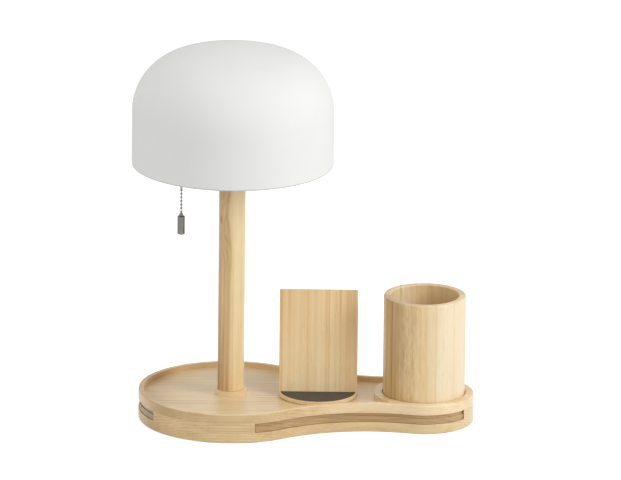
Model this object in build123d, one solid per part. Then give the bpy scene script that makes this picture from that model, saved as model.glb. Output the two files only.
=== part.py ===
from build123d import *
import math
import os

# Desk lamp on a wooden base with two drawers, a swivelling phone stand and a lift-out pen cup.
# Millimetres, +Z up, front towards -Y. The origin lies on the post's axis at desk height.

# Fits
FIT = 0.05  # radial clearance of screws, pins, plugs and threads
RUNNING_FIT = 0.08  # radial clearance of what turns or slides in a bore
HAIRLINE = 0.1  # gap between small parts that turn past each other

# Plan of the base: two round ends joined by two hollow flanks
LAMP_END_R = 92.5  # round end about the post
CUP_END_R = 50.0  # round end about the pen cup
CUP_X = 193.7
CUP_Y = -5.0
FRONT_WAIST_R = 150.0
BACK_WAIST_R = 250.0

# Layers of the base, from the desk up
FOOT_PROUD = 0.5
BOTTOM_BOARD_T = 10.0
MIDDLE_FRAME_T = 9.7
TOP_BOARD_T = 10.0
TRAY_DEPTH = 5.2
RIM_W = 5.0
TRAY_CORNER_R = 2.0
BOARD_EDGE_R = 1.0
RIM_EDGE_R = 0.6

# Feet and underside cover
FOOT_R = 6.0
FOOT_RECESS = 1.0
FOOT_INSET = 17.0  # foot centre from the edge of the base
LAMP_FOOT_ANGLES = (110, 180, 250)
CUP_FOOT_ANGLES = (-60, 60)
COVER_FLANGE_W = 6.7  # cover beyond the anchor's recess
COVER_RECESS = 2.0
COVER_SCREW_HEAD_R = 2.6
COVER_SCREW_HEAD_T = 1.0
COVER_SCREW_SINK = 0.6  # head above the cover's lower face
COVER_SCREW_R = 1.4
COVER_SCREW_L = 7.0

# Cord entry at the back
GLAND_RISE = 6.7  # gland axis above the underside
GLAND_FLANGE_R = 5.0
GLAND_FLANGE_T = 2.0
GLAND_BARREL_R = 4.0
GLAND_BORE_R = 3.1
GLAND_BARREL_L = 9.0
GLAND_SEAT_DEPTH = 0.5
LEAD_R = 2.8
LEAD_HOLE_R = 3.6
LEAD_BEND_R = 7.5
LEAD_END_GAP = 1.5  # from the gland to the end of the lead

# Drawers
FACE_RECESS = 1.0  # drawer faces lie this far inside the base's edge
FACE_T = 9.0
FACE_END_GAP = 0.4
GRIP_DEPTH = 1.0  # finger groove along the face's top edge
GRIP_H = 3.4
DRAWER_GAP = 0.35  # all round the drawer in its cavity
DRAWER_BOTTOM_T = 2.0
DRAWER_SIDE_T = 5.0
DRAWER_BACK_T = 5.0
DRAWER_EAR_W = 5.0  # the back's ears run in side channels and stop the drawer
FRONT_FACE_LAMP_ANGLE = -73.9  # where the face starts on the round end under the lamp
FRONT_FACE_CUP_ANGLE = -37.4  # where it ends on the round end under the pen cup
FRONT_FACE_OVERHANG = 8.5  # face beyond the box at the lamp's end
FRONT_BOX_PAST_CUP = 12.0  # box beyond the pen cup's axis
FRONT_BOX_BACK_Y = 30.0
FRONT_TRAVEL = 60.0
LEFT_BOX_W = 88.0
LEFT_FACE_OVERHANG = 7.4  # face beyond the box at each end
LEFT_BOX_BACK_X = -24.0
LEFT_TRAVEL = 30.0

# Pen cup and its ring
CUP_R = 41.2
CUP_WALL = 7.0
CUP_H = 106.5
CUP_BOTTOM_T = 6.0
CUP_REBATE = 3.0
CUP_RING_GAP = 0.9
CUP_EDGE_R = 1.2

# Phone stand
STAND_TO_CUP = 106.0
STAND_Y = -3.0
DISC_R = 39.2
DISC_T = 3.5
SLIP_WASHER_R = 12.0
SLIP_WASHER_T = 0.5
PAD_MARGIN = 1.5  # disc's rim round the pad
PAD_T = 1.2
PAD_RECESS = 1.0
PAD_GAP = 0.3
REST_W = 78.6
REST_H = 102.6
REST_T = 8.0
REST_LEAN = 12.0  # degrees back from upright
REST_FRONT = 3.9  # foot of the rest's front face in front of the disc's centre
REST_EDGE_R = 0.8
REST_SCREW_SPACING = 44.0
REST_SCREW_BACK = 1.3  # screws behind the disc's centre
REST_SCREW_HEAD_R = 2.8
REST_SCREW_HEAD_T = 1.4
REST_SCREW_R = 1.4
REST_SCREW_L = 12.0
PIN_R = 2.5
PIN_HEAD_MARGIN = 0.3  # pin's head behind the rest's front face
PIN_HEAD_T = 1.2
KEEPER_R = 6.0
KEEPER_T = 0.6
KEEPER_POCKET_R = 8.0
KEEPER_POCKET_DEPTH = 2.2
KEEPER_SCREW_HEAD_R = 2.5
KEEPER_SCREW_HEAD_T = 1.1
KEEPER_SCREW_R = 1.25
KEEPER_SCREW_L = 4.5

# Post and its threaded tube
POST_R = 13.3
POST_L = 230.5
POST_BORE_PLAY = 0.3  # round the threaded tube
POST_BOSS_R = 16.4
POST_SOCKET_DEPTH = 5.0
TUBE_R = 5.0
TUBE_BORE_R = 4.0
TUBE_PROUD = 1.0  # below the anchor nut
ANCHOR_RECESS_R = 16.0
ANCHOR_WASHER_R = 14.0
ANCHOR_WASHER_T = 1.5
ANCHOR_NUT_R = 9.8  # across the corners, halved
ANCHOR_NUT_T = 4.0
POST_CAP_INSET = 0.5
POST_CAP_T = 2.0

# Pull switch
BRACKET_W = 20.0
BRACKET_T = 2.0
SWITCH_X = -51.0
SWITCH_W = 26.0
SWITCH_D = 18.0
SWITCH_H = 24.0
SWITCH_EDGE_R = 2.0
SWITCH_FLOOR_T = 2.0
CHAMBER_R = 5.0
SWITCH_ROOF_T = 2.0
STEM_R = 4.75
STEM_DROP = 14.0  # stem below the bracket
STEM_NUT_R = 8.0
STEM_NUT_T = 3.0
PLUNGER_R = 1.5
PLUNGER_COLLAR_PLAY = 0.5
PLUNGER_COLLAR_T = 3.0
PLUNGER_COLLAR_RISE = 12.0  # collar above the switch's foot
EYE_R = 2.2
EYE_T = 1.6
EYE_HOLE_R = 1.0
EYE_CLEAR = 0.3  # eye below the stem
SWITCH_LEAD_R = 1.0
SWITCH_LEAD_SPACING = 3.2
SWITCH_LEAD_RISE = 12.0
SWITCH_LEAD_SAG = 4.0
SWITCH_LEAD_BEND_R = 6.0
SWITCH_LEAD_ENTRY = 1.5

# Pull chain
FORK_R = 1.8
FORK_CHEEK_T = 0.8
FORK_W = 2.4
FORK_BRIDGE_T = 1.1
FORK_BRIDGE_CLEAR = 0.2
BEAD_R = 1.35
BEAD_PITCH = 3.75
BEAD_COUNT = 7
LINK_R = 0.5
LINK_END_L = 0.4
PENDANT_R = 3.8
PENDANT_L = 19.0
PENDANT_EDGE_R = 0.8
PENDANT_NECK_R = 2.0
PENDANT_NECK_L = 2.2

# Lamp holder
HOLDER_R = 19.0
HOLDER_FOOT_R = 10.0
HOLDER_CAP_H = 16.0
HOLDER_CAP_FLOOR = 8.0
INSERT_SEAT_W = 1.1  # ledge of the cap under the insert
SHELL_H = 38.0
SHELL_BORE_R = 13.6
SHELL_WALL = 1.9
SHELL_THREAD_RISE = 1.0
SHELL_THREAD_START = 10.0
SHELL_THREAD_L = 20.0
INSERT_H = 12.0
CENTRE_CONTACT_W = 6.0
CENTRE_CONTACT_L = 14.0
CENTRE_CONTACT_RISE = 2.5
CONTACT_T = 0.4
SIDE_CONTACT_W = 5.0
SIDE_CONTACT_H = 9.0

# Bulb
BULB_R = 22.5
BULB_NECK_L = 5.0
BULB_NECK_BLEND_R = 10.0
BULB_GLASS_T = 0.8
BULB_PLAY = 0.15  # round the bulb's cap in the side contact
BULB_SKIRT_H = 3.1
BULB_TIP_R = 4.5
BULB_TIP_H = 0.8
BULB_INSULATOR_H = 3.2
BULB_THREAD_PITCH = 3.6
BULB_THREAD_DEPTH = 0.9
BULB_THREAD_TURNS = 4

# Shade and what carries it
CARRIER_RISE = 18.0  # above the shell's foot
CARRIER_T = 2.0
CARRIER_HUB_R = 27.0
CARRIER_ARM_W = 10.0
CARRIER_ARM_GAP = 1.0
CARRIER_ANGLES = (90, 210, 330)
SHADE_RING_R = 26.0
SHADE_RING_T = 4.0
SHADE_R = 101.0
SHADE_WALL = 2.0
SHADE_WALL_H = 54.0  # upright part of the wall
SHADE_SHOULDER_R = 60.3
SHADE_CROWN_R = 201.1
SHADE_LIP_R = 0.8
SHADE_BOSS_RISE = 31.0  # foot of the bosses above the shade's rim
SHADE_BOSS_R = 4.5
SHADE_BOSS_H = 12.0
SHADE_BOSS_INSET = 8.5  # boss axis from the outside of the wall
SHADE_WEB_T = 3.0
SHADE_SCREW_HEAD_R = 2.8
SHADE_SCREW_HEAD_T = 2.0
SHADE_SCREW_R = 1.5
SHADE_SCREW_L = 10.0

# Sizes worked out from the ones above
COVER_R = ANCHOR_RECESS_R + COVER_FLANGE_W
COVER_SCREW_X = (ANCHOR_RECESS_R + COVER_R) / 2
Y_GLAND_SEAT = LAMP_END_R - GLAND_SEAT_DEPTH
Y_GLAND = Y_GLAND_SEAT - GLAND_BARREL_L
FRONT_FACE_X0 = LAMP_END_R * math.cos(math.radians(FRONT_FACE_LAMP_ANGLE))
FRONT_FACE_X1 = CUP_X + CUP_END_R * math.cos(math.radians(FRONT_FACE_CUP_ANGLE))
FRONT_BOX_X0 = FRONT_FACE_X0 + FRONT_FACE_OVERHANG
FRONT_BOX_X1 = CUP_X + FRONT_BOX_PAST_CUP
LEFT_FACE_W = LEFT_BOX_W + 2 * LEFT_FACE_OVERHANG
STAND_X = CUP_X - STAND_TO_CUP
PAD_R = DISC_R - PAD_MARGIN
PIN_HEAD_R = REST_FRONT - PIN_HEAD_MARGIN
POST_BORE_R = TUBE_R + POST_BORE_PLAY
POST_CAP_R = POST_R - POST_CAP_INSET
SWITCH_X1 = SWITCH_X + SWITCH_W / 2
CHAMBER_H = SWITCH_H - SWITCH_FLOOR_T - SWITCH_ROOF_T
PLUNGER_COLLAR_R = CHAMBER_R - PLUNGER_COLLAR_PLAY
SHELL_CAVITY_R = HOLDER_R - SHELL_WALL
SHELL_THREAD_R = HOLDER_R + SHELL_THREAD_RISE
HOLDER_CAP_BORE_R = SHELL_CAVITY_R - INSERT_SEAT_W
BULB_CAP_R = SHELL_BORE_R - FIT - CONTACT_T - BULB_PLAY
BULB_THREAD_L = BULB_THREAD_TURNS * BULB_THREAD_PITCH
BULB_CAP_H = BULB_TIP_H + BULB_INSULATOR_H + BULB_THREAD_L + BULB_SKIRT_H

# Levels worked out from the sizes above
Z_UNDERSIDE = FOOT_PROUD
Z_COVER_TOP = Z_UNDERSIDE + COVER_RECESS
Z_COVER_SCREW = Z_UNDERSIDE - FOOT_PROUD + COVER_SCREW_SINK
Z_MIDDLE = Z_UNDERSIDE + BOTTOM_BOARD_T
Z_TOP_BOARD = Z_MIDDLE + MIDDLE_FRAME_T
Z_RIM = Z_TOP_BOARD + TOP_BOARD_T
Z_TRAY = Z_RIM - TRAY_DEPTH
Z_GLAND = Z_UNDERSIDE + GLAND_RISE
Z_DRAWER = Z_MIDDLE + DRAWER_GAP
Z_DRAWER_INSIDE = Z_DRAWER + DRAWER_BOTTOM_T
Z_DRAWER_TOP = Z_TOP_BOARD - DRAWER_GAP
Z_DISC = Z_TRAY + SLIP_WASHER_T
Z_DISC_TOP = Z_DISC + DISC_T
Z_KEEPER_POCKET = Z_TOP_BOARD + KEEPER_POCKET_DEPTH
Z_KEEPER = Z_KEEPER_POCKET - HAIRLINE - KEEPER_T
Z_POST = Z_RIM - POST_SOCKET_DEPTH
Z_POST_TOP = Z_POST + POST_L
Z_BRACKET = Z_POST_TOP + POST_CAP_T
Z_HOLDER = Z_BRACKET + BRACKET_T
Z_TUBE = Z_TOP_BOARD - ANCHOR_WASHER_T - ANCHOR_NUT_T - TUBE_PROUD
Z_TUBE_TOP = Z_HOLDER + HOLDER_CAP_FLOOR
Z_SHELL = Z_HOLDER + HOLDER_CAP_H
Z_SWITCH_LEAD = Z_HOLDER + SWITCH_LEAD_RISE
Z_BULB = Z_SHELL + INSERT_H + CENTRE_CONTACT_RISE
Z_CARRIER = Z_SHELL + CARRIER_RISE
Z_CARRIER_TOP = Z_CARRIER + CARRIER_T
Z_SHADE = Z_CARRIER_TOP - SHADE_BOSS_RISE
Z_STEM = Z_BRACKET - STEM_DROP
Z_EYE = Z_STEM - EYE_CLEAR - EYE_R
Z_FORK = Z_EYE - EYE_R - FORK_BRIDGE_CLEAR - FORK_BRIDGE_T
Z_LAST_BEAD = Z_FORK - LINK_END_L - BEAD_R - (BEAD_COUNT - 1) * BEAD_PITCH
Z_PENDANT_NECK = Z_LAST_BEAD - BEAD_R - LINK_END_L

LAMP_CENTRE = (0.0, 0.0)
CUP_CENTRE = (CUP_X, CUP_Y)
FAR = 4 * LAMP_END_R  # longer than anything that it trims


def cylinder(radius, low, high, x=0.0, y=0.0):
    return Pos(x, y, (low + high) / 2) * Cylinder(radius, high - low)


def tube(radius, bore, low, high, x=0.0, y=0.0):
    return cylinder(radius, low, high, x, y) - cylinder(bore, low, high, x, y)


def block(x0, x1, y0, y1, z0, z1):
    middle = Pos((x0 + x1) / 2, (y0 + y1) / 2, (z0 + z1) / 2)
    return middle * Box(x1 - x0, y1 - y0, z1 - z0)


def slab(face, low, high):
    return Pos(0, 0, low) * extrude(face, amount=high - low, dir=(0, 0, 1))


def turned(edges):
    """Solid turned about Z from the edges of its half section, drawn as (radius, height)."""
    return revolve(Rot(90, 0, 0) * make_face(edges), Axis.Z)


def screw(x, y, low, head_r, head_t, shank_r, shank_l):
    """Screw driven upwards, with its head at the bottom."""
    head_top = low + head_t
    shank = cylinder(shank_r, head_top, head_top + shank_l, x, y)
    return cylinder(head_r, low, head_top, x, y) + shank


def edges_at(part, height):
    return part.edges().filter_by_position(Axis.Z, height - 0.01, height + 0.01)


def on_circle(centre, radius, degrees):
    angle = math.radians(degrees)
    return centre[0] + radius * math.cos(angle), centre[1] + radius * math.sin(angle)


def heading(start, end):
    return math.degrees(math.atan2(end[1] - start[1], end[0] - start[0]))


def arc(centre, radius, start, end):
    """Arc that runs counter-clockwise between two headings."""
    return CenterArc(centre, radius, start, (end - start) % 360)


def waist_centre(waist_r, side):
    """Centre of the flank that touches both round ends from outside: -1 is front, 1 is back."""
    lamp_reach = LAMP_END_R + waist_r
    cup_reach = CUP_END_R + waist_r
    span = math.hypot(CUP_X, CUP_Y)
    along = (lamp_reach**2 - cup_reach**2 + span**2) / (2 * span)
    across = side * math.sqrt(lamp_reach**2 - along**2)
    ux = CUP_X / span
    uy = CUP_Y / span
    return ux * along - uy * across, uy * along + ux * across


def base_outline(inset=0.0):
    """Plan of the base, drawn inwards by inset all round."""
    front = waist_centre(FRONT_WAIST_R, -1)
    back = waist_centre(BACK_WAIST_R, 1)
    lamp = LAMP_CENTRE
    cup = CUP_CENTRE
    lamp_end = arc(lamp, LAMP_END_R - inset, heading(lamp, back), heading(lamp, front))
    front_flank = arc(front, FRONT_WAIST_R + inset, heading(front, cup), heading(front, lamp))
    cup_end = arc(cup, CUP_END_R - inset, heading(cup, front), heading(cup, back))
    back_flank = arc(back, BACK_WAIST_R + inset, heading(back, lamp), heading(back, cup))
    return make_face([lamp_end, front_flank, cup_end, back_flank])


# ---------------------------------------------------------------- base


def foot_places():
    for degrees in LAMP_FOOT_ANGLES:
        yield on_circle(LAMP_CENTRE, LAMP_END_R - FOOT_INSET, degrees)
    for degrees in CUP_FOOT_ANGLES:
        yield on_circle(CUP_CENTRE, CUP_END_R - FOOT_INSET, degrees)


def cover_screw_places():
    return [(-COVER_SCREW_X, 0), (COVER_SCREW_X, 0)]


def along_y(radius, y0, y1):
    """Cylinder on the gland's axis."""
    length = y1 - y0
    return Pos(0, (y0 + y1) / 2, Z_GLAND) * Rot(90, 0, 0) * Cylinder(radius, length)


def cord_way():
    """Bore for the lead, counterbore for the gland's barrel and flat seat for its flange."""
    way = along_y(LEAD_HOLE_R, 0, Y_GLAND)
    way += along_y(GLAND_BARREL_R + FIT, Y_GLAND, LAMP_END_R)
    return way + along_y(GLAND_FLANGE_R + FIT, Y_GLAND_SEAT, LAMP_END_R + GLAND_FLANGE_T)


def make_bottom_board():
    board = slab(base_outline(), Z_UNDERSIDE, Z_MIDDLE)
    board = fillet(edges_at(board, Z_UNDERSIDE), BOARD_EDGE_R)
    board -= cylinder(ANCHOR_RECESS_R, Z_UNDERSIDE, Z_MIDDLE)
    board -= cylinder(COVER_R + FIT, Z_UNDERSIDE, Z_COVER_TOP)
    screw_top = Z_COVER_SCREW + COVER_SCREW_HEAD_T + COVER_SCREW_L
    for x, y in cover_screw_places():
        board -= cylinder(COVER_SCREW_R + FIT, Z_UNDERSIDE, screw_top, x, y)
    for x, y in foot_places():
        board -= cylinder(FOOT_R + FIT, Z_UNDERSIDE, Z_UNDERSIDE + FOOT_RECESS, x, y)
    return board - cord_way()


def front_cavity():
    gap = DRAWER_GAP
    x0 = FRONT_FACE_X0 - FACE_END_GAP
    x1 = FRONT_FACE_X1 + FACE_END_GAP
    behind_face = Pos(0, FACE_T + gap, 0) * base_outline(FACE_RECESS)
    cavity = block(x0, x1, -FAR, 0, Z_MIDDLE, Z_TOP_BOARD)
    cavity -= slab(behind_face, Z_MIDDLE, Z_TOP_BOARD)
    back = FRONT_BOX_BACK_Y + gap
    cavity += block(FRONT_BOX_X0 - gap, FRONT_BOX_X1 + gap, -FAR, back, Z_MIDDLE, Z_TOP_BOARD)
    ear_x0 = FRONT_BOX_X0 - DRAWER_EAR_W - gap
    ear_x1 = FRONT_BOX_X1 + DRAWER_EAR_W + gap
    ear_stop = FRONT_BOX_BACK_Y - DRAWER_BACK_T - FRONT_TRAVEL - gap
    return cavity + block(ear_x0, ear_x1, ear_stop, back, Z_MIDDLE, Z_TOP_BOARD)


def left_cavity():
    gap = DRAWER_GAP
    half_face = LEFT_FACE_W / 2 + FACE_END_GAP
    half_box = LEFT_BOX_W / 2 + gap
    half_ears = LEFT_BOX_W / 2 + DRAWER_EAR_W + gap
    behind_face = Pos(FACE_T + gap, 0, 0) * base_outline(FACE_RECESS)
    cavity = block(-FAR, 0, -half_face, half_face, Z_MIDDLE, Z_TOP_BOARD)
    cavity -= slab(behind_face, Z_MIDDLE, Z_TOP_BOARD)
    back = LEFT_BOX_BACK_X + gap
    cavity += block(-FAR, back, -half_box, half_box, Z_MIDDLE, Z_TOP_BOARD)
    ear_stop = LEFT_BOX_BACK_X - DRAWER_BACK_T - LEFT_TRAVEL - gap
    return cavity + block(ear_stop, back, -half_ears, half_ears, Z_MIDDLE, Z_TOP_BOARD)


def make_middle_frame():
    frame = slab(base_outline(), Z_MIDDLE, Z_TOP_BOARD)
    frame -= cylinder(ANCHOR_RECESS_R, Z_MIDDLE, Z_TOP_BOARD)
    frame -= front_cavity()
    frame -= left_cavity()
    return frame - cord_way()


def on_cup_end(point):
    return abs(math.dist((point.X, point.Y), CUP_CENTRE) - CUP_END_R) < FIT


def tray_plan():
    """Floor of the tray: the base inside its rim, less the pen cup's ring and the post's boss."""
    plan = base_outline(RIM_W) - Pos(CUP_X, CUP_Y) * Circle(CUP_END_R)
    corners = [point for point in plan.vertices() if on_cup_end(point)]
    return fillet(corners, TRAY_CORNER_R) - Circle(POST_BOSS_R)


def make_top_board():
    board = slab(base_outline(), Z_TOP_BOARD, Z_RIM)
    board = fillet(edges_at(board, Z_RIM), BOARD_EDGE_R)
    board -= slab(tray_plan(), Z_TRAY, Z_RIM)
    board -= cylinder(CUP_R + CUP_RING_GAP, Z_TRAY, Z_RIM, CUP_X, CUP_Y)
    board -= cylinder(POST_R + FIT, Z_POST, Z_RIM)
    board -= cylinder(POST_BORE_R, Z_TOP_BOARD, Z_POST)
    board -= cylinder(PIN_R + RUNNING_FIT, Z_TOP_BOARD, Z_TRAY, STAND_X, STAND_Y)
    return board - cylinder(
        KEEPER_POCKET_R, Z_TOP_BOARD, Z_KEEPER_POCKET, STAND_X, STAND_Y
    )


def make_feet():
    low = Z_UNDERSIDE - FOOT_PROUD
    return [cylinder(FOOT_R, low, Z_UNDERSIDE + FOOT_RECESS, x, y) for x, y in foot_places()]


def make_underside_cover():
    """Pad under the post that closes the anchor's recess and stands on the desk with the feet."""
    low = Z_UNDERSIDE - FOOT_PROUD
    cover = cylinder(COVER_R, low, Z_COVER_TOP)
    head_top = Z_COVER_SCREW + COVER_SCREW_HEAD_T
    for x, y in cover_screw_places():
        cover -= cylinder(COVER_SCREW_HEAD_R + FIT, low, head_top, x, y)
        cover -= cylinder(COVER_SCREW_R + FIT, low, Z_COVER_TOP, x, y)
    return cover


def make_cover_screws():
    return [
        screw(x, y, Z_COVER_SCREW, COVER_SCREW_HEAD_R, COVER_SCREW_HEAD_T,
              COVER_SCREW_R, COVER_SCREW_L)
        for x, y in cover_screw_places()
    ]


def make_cord_gland():
    gland = along_y(GLAND_BARREL_R, Y_GLAND, Y_GLAND_SEAT)
    gland += along_y(GLAND_FLANGE_R, Y_GLAND_SEAT, Y_GLAND_SEAT + GLAND_FLANGE_T)
    return gland - along_y(GLAND_BORE_R, Y_GLAND, Y_GLAND_SEAT + GLAND_FLANGE_T)


def make_internal_lead():
    start = (0, Y_GLAND - LEAD_END_GAP, Z_GLAND)
    corner = (0, 0, Z_GLAND)
    end = (0, 0, Z_TUBE_TOP + LEAD_R)
    path = FilletPolyline(start, corner, end, radius=LEAD_BEND_R)
    section = Plane(origin=start, z_dir=(0, -1, 0)) * Circle(LEAD_R)
    return sweep(section, path=path)


# ---------------------------------------------------------------- drawers


def grip_groove():
    """Shallow groove along the top edge of a drawer's face, to pull it by."""
    ring = base_outline(FACE_RECESS) - base_outline(FACE_RECESS + GRIP_DEPTH)
    return slab(ring, Z_DRAWER_TOP - GRIP_H, Z_DRAWER_TOP)


def make_front_drawer():
    face_plan = base_outline(FACE_RECESS)
    inner_plan = Pos(0, FACE_T, 0) * face_plan
    low = Z_DRAWER
    inside = Z_DRAWER_INSIDE
    high = Z_DRAWER_TOP
    x0 = FRONT_BOX_X0
    x1 = FRONT_BOX_X1
    back = FRONT_BOX_BACK_Y
    back_front = back - DRAWER_BACK_T
    behind = slab(inner_plan, low, high)

    face = slab(face_plan, low, high) - behind - grip_groove()
    face &= block(FRONT_FACE_X0, FRONT_FACE_X1, -FAR, 0, low, high)
    return {
        "front_drawer_face": face,
        "front_drawer_bottom": block(x0, x1, -FAR, back, low, inside) & behind,
        "front_drawer_left_side":
            block(x0, x0 + DRAWER_SIDE_T, -FAR, back_front, inside, high) & behind,
        "front_drawer_right_side":
            block(x1 - DRAWER_SIDE_T, x1, -FAR, back_front, inside, high) & behind,
        "front_drawer_back":
            block(x0 - DRAWER_EAR_W, x1 + DRAWER_EAR_W, back_front, back, inside, high),
    }


def make_left_drawer():
    face_plan = base_outline(FACE_RECESS)
    inner_plan = Pos(FACE_T, 0, 0) * face_plan
    low = Z_DRAWER
    inside = Z_DRAWER_INSIDE
    high = Z_DRAWER_TOP
    half_face = LEFT_FACE_W / 2
    half_box = LEFT_BOX_W / 2
    half_back = half_box + DRAWER_EAR_W
    back = LEFT_BOX_BACK_X
    back_front = back - DRAWER_BACK_T
    behind = slab(inner_plan, low, high)

    face = slab(face_plan, low, high) - behind - grip_groove()
    face &= block(-FAR, 0, -half_face, half_face, low, high)
    return {
        "left_drawer_face": face,
        "left_drawer_bottom": block(-FAR, back, -half_box, half_box, low, inside) & behind,
        "left_drawer_front_side":
            block(-FAR, back_front, -half_box, DRAWER_SIDE_T - half_box, inside, high) & behind,
        "left_drawer_rear_side":
            block(-FAR, back_front, half_box - DRAWER_SIDE_T, half_box, inside, high) & behind,
        "left_drawer_back": block(back_front, back, -half_back, half_back, inside, high),
    }


# ---------------------------------------------------------------- pen cup


def make_pen_cup():
    low = Z_TRAY
    high = Z_TRAY + CUP_H
    inner_r = CUP_R - CUP_WALL
    plug_r = inner_r + CUP_REBATE
    body = tube(CUP_R, inner_r, low, high, CUP_X, CUP_Y)
    body -= cylinder(plug_r + FIT, low, low + CUP_BOTTOM_T, CUP_X, CUP_Y)
    body = fillet(edges_at(body, high), CUP_EDGE_R)
    bottom = cylinder(plug_r, low, low + CUP_BOTTOM_T, CUP_X, CUP_Y)
    return {"pen_cup_body": body, "pen_cup_bottom": bottom}


# ---------------------------------------------------------------- phone stand


def rest_screw_places():
    y = STAND_Y + REST_SCREW_BACK
    return [(STAND_X - REST_SCREW_SPACING / 2, y), (STAND_X + REST_SCREW_SPACING / 2, y)]


def front_segment(radius, low, high):
    """Part of the disc in front of the phone rest."""
    edge = STAND_Y - REST_FRONT
    whole = cylinder(radius, low, high, STAND_X, STAND_Y)
    return whole & block(STAND_X - radius, STAND_X + radius, STAND_Y - radius, edge, low, high)


def make_disc():
    disc = cylinder(DISC_R, Z_DISC, Z_DISC_TOP, STAND_X, STAND_Y)
    disc = fillet(edges_at(disc, Z_DISC_TOP), RIM_EDGE_R)
    disc -= front_segment(PAD_R + PAD_GAP, Z_DISC_TOP - PAD_RECESS, Z_DISC_TOP)
    disc -= cylinder(PIN_R + FIT, Z_DISC, Z_DISC_TOP, STAND_X, STAND_Y)
    head_low = Z_DISC_TOP - PIN_HEAD_T
    disc -= cylinder(PIN_HEAD_R + FIT, head_low, Z_DISC_TOP, STAND_X, STAND_Y)
    for x, y in rest_screw_places():
        disc -= cylinder(REST_SCREW_HEAD_R + FIT, Z_DISC, Z_DISC + REST_SCREW_HEAD_T, x, y)
        disc -= cylinder(REST_SCREW_R + FIT, Z_DISC, Z_DISC_TOP, x, y)
    return disc


def make_phone_rest():
    board = block(-REST_W / 2, REST_W / 2, 0, REST_T, -REST_T, REST_H)
    board = fillet(board.edges(), REST_EDGE_R)
    board = Pos(STAND_X, STAND_Y - REST_FRONT, Z_DISC_TOP) * Rot(-REST_LEAN, 0, 0) * board
    board -= block(-FAR, FAR, -FAR, FAR, Z_DISC - FAR, Z_DISC_TOP)
    top = Z_DISC + REST_SCREW_HEAD_T + REST_SCREW_L
    for x, y in rest_screw_places():
        board -= cylinder(REST_SCREW_R + FIT, Z_DISC, top, x, y)
    return board


def make_pivot_pin():
    pin = cylinder(PIN_R, Z_KEEPER + KEEPER_T, Z_DISC_TOP, STAND_X, STAND_Y)
    pin += cylinder(PIN_HEAD_R, Z_DISC_TOP - PIN_HEAD_T, Z_DISC_TOP, STAND_X, STAND_Y)
    screw_top = Z_KEEPER + KEEPER_SCREW_L
    return pin - cylinder(KEEPER_SCREW_R + FIT, Z_KEEPER, screw_top, STAND_X, STAND_Y)


def make_stand():
    pad_low = Z_DISC_TOP - PAD_RECESS
    keeper_top = Z_KEEPER + KEEPER_T
    return {
        "stand_disc": make_disc(),
        "stand_pad": front_segment(PAD_R, pad_low, pad_low + PAD_T),
        "phone_rest": make_phone_rest(),
        "rest_screws": [
            screw(x, y, Z_DISC, REST_SCREW_HEAD_R, REST_SCREW_HEAD_T,
                  REST_SCREW_R, REST_SCREW_L)
            for x, y in rest_screw_places()
        ],
        "stand_pivot_pin": make_pivot_pin(),
        "stand_slip_washer":
            tube(SLIP_WASHER_R, PIN_R + RUNNING_FIT, Z_TRAY, Z_DISC, STAND_X, STAND_Y),
        "stand_keeper_washer":
            tube(KEEPER_R, KEEPER_SCREW_R + FIT, Z_KEEPER, keeper_top, STAND_X, STAND_Y),
        "stand_keeper_screw":
            screw(STAND_X, STAND_Y, Z_KEEPER - KEEPER_SCREW_HEAD_T, KEEPER_SCREW_HEAD_R,
                  KEEPER_SCREW_HEAD_T, KEEPER_SCREW_R, KEEPER_SCREW_L),
    }


# ---------------------------------------------------------------- post


def make_post():
    washer_low = Z_TOP_BOARD - ANCHOR_WASHER_T
    nut_low = washer_low - ANCHOR_NUT_T
    nut = slab(RegularPolygon(ANCHOR_NUT_R, 6), nut_low, washer_low)
    nut -= cylinder(TUBE_R + FIT, nut_low, washer_low)
    return {
        "post": tube(POST_R, POST_BORE_R, Z_POST, Z_POST_TOP),
        "threaded_tube": tube(TUBE_R, TUBE_BORE_R, Z_TUBE, Z_TUBE_TOP),
        "anchor_washer": tube(ANCHOR_WASHER_R, TUBE_R + FIT, washer_low, Z_TOP_BOARD),
        "anchor_nut": nut,
        "post_cap": tube(POST_CAP_R, TUBE_R + FIT, Z_POST_TOP, Z_BRACKET),
    }


# ---------------------------------------------------------------- pull switch


def make_bracket():
    strip = Pos(SWITCH_X / 2, 0) * SlotCenterToCenter(abs(SWITCH_X), BRACKET_W)
    bracket = slab(strip, Z_BRACKET, Z_HOLDER)
    bracket -= cylinder(TUBE_R + FIT, Z_BRACKET, Z_HOLDER)
    return bracket - cylinder(STEM_R + FIT, Z_BRACKET, Z_HOLDER, SWITCH_X)


def switch_lead_rows():
    return (-SWITCH_LEAD_SPACING / 2, SWITCH_LEAD_SPACING / 2)


def along_x(radius, x0, x1, y, z):
    return Pos((x0 + x1) / 2, y, z) * Rot(0, 90, 0) * Cylinder(radius, x1 - x0)


def make_switch_body():
    x0 = SWITCH_X - SWITCH_W / 2
    half_d = SWITCH_D / 2
    body = block(x0, SWITCH_X1, -half_d, half_d, Z_HOLDER, Z_HOLDER + SWITCH_H)
    body = fillet(body.edges().filter_by(Axis.Z), SWITCH_EDGE_R)
    chamber_low = Z_HOLDER + SWITCH_FLOOR_T
    body -= cylinder(CHAMBER_R, chamber_low, chamber_low + CHAMBER_H, SWITCH_X)
    body -= cylinder(STEM_R + FIT, Z_HOLDER, chamber_low, SWITCH_X)
    for y in switch_lead_rows():
        entry = SWITCH_X1 - SWITCH_LEAD_ENTRY
        body -= along_x(SWITCH_LEAD_R + FIT, entry, SWITCH_X1, y, Z_SWITCH_LEAD)
    return body


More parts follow.
